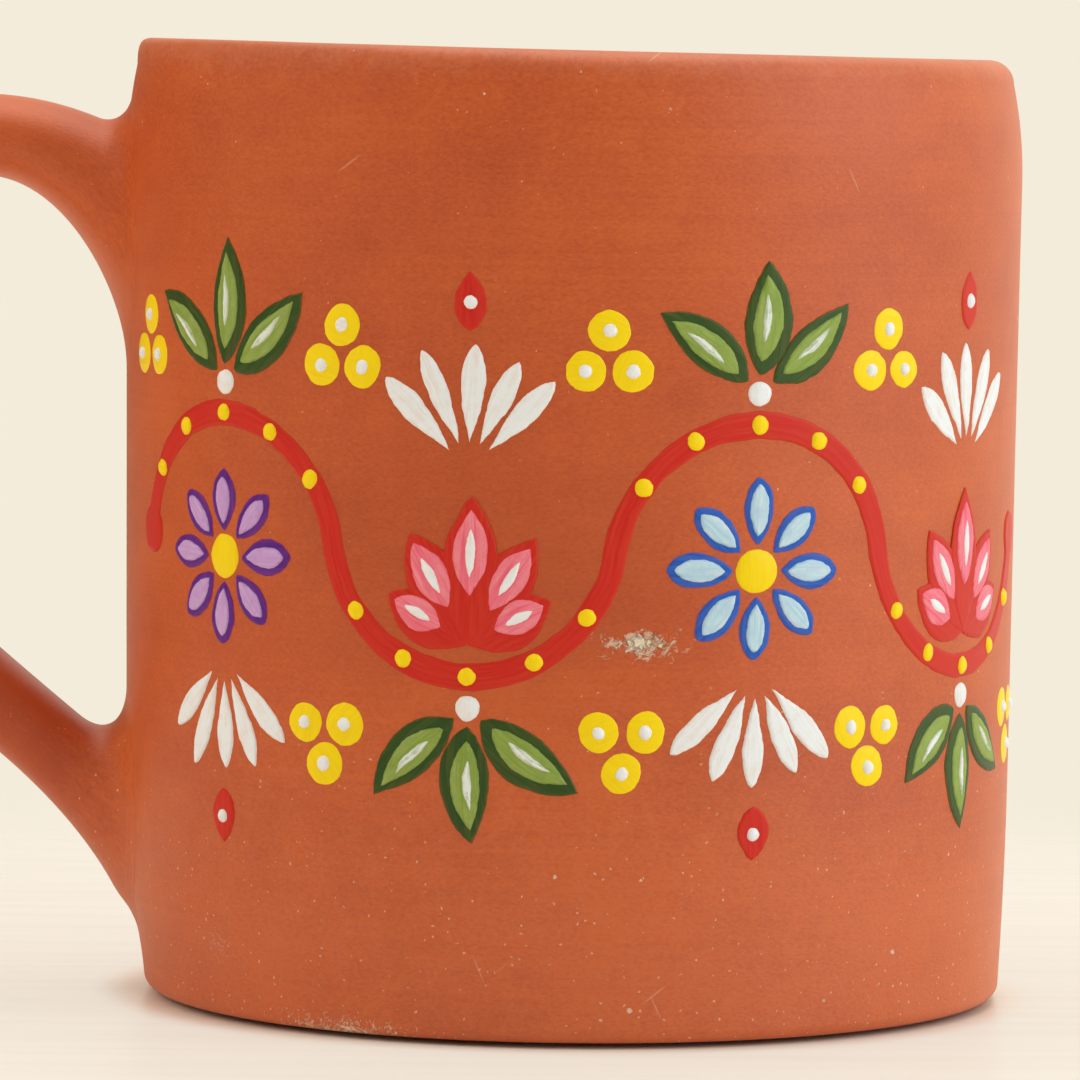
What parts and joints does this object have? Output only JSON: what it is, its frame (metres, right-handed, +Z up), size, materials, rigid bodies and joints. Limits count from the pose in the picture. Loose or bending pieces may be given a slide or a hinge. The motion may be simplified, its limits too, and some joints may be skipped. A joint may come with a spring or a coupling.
{
  "type": "clay mug",
  "caption": "Straight-sided terracotta mug with a pulled ear handle and a painted flowering vine round its front, for tea and other hot drinks.",
  "frame": {"origin": "middle of the flat foot, on the axis of the cup", "axes": "+Z up along the axis of the cup, handle along -X, painted side towards -Y"},
  "size_m": [0.1205, 0.0821, 0.0862],
  "materials": {
    "terracotta": "low-fired, unglazed, smoothed on the wheel",
    "slip": "low-fired slip, wiped smooth",
    "red_paint": "satin acrylic paint",
    "yellow_paint": "satin acrylic paint",
    "dark_green_paint": "satin acrylic paint",
    "lime_paint": "satin acrylic paint",
    "white_paint": "satin acrylic paint",
    "violet_paint": "satin acrylic paint",
    "lilac_paint": "satin acrylic paint",
    "blue_paint": "satin acrylic paint",
    "sky_paint": "satin acrylic paint",
    "pink_paint": "satin acrylic paint"
  },
  "bodies": {
    "root": {"cup_body": "terracotta", "handle": "terracotta", "upper_slip_joint": "slip", "lower_slip_joint": "slip", "vine_line": "red_paint", "vine_dots": "yellow_paint", "leaf_bases": "dark_green_paint", "leaf_centres": "lime_paint", "leaf_highlights": "white_paint", "leaf_root_dots": "white_paint", "violet_daisy": "violet_paint", "violet_daisy_petals": "lilac_paint", "blue_daisy": "blue_paint", "blue_daisy_petals": "sky_paint", "daisy_eyes": "yellow_paint", "lotus_bases": "red_paint", "lotus_petals": "pink_paint", "lotus_highlights": "white_paint", "berries": "yellow_paint", "berry_dots": "white_paint", "comma_strokes": "white_paint", "buds": "red_paint", "bud_dots": "white_paint"}
  },
  "joints": []
}
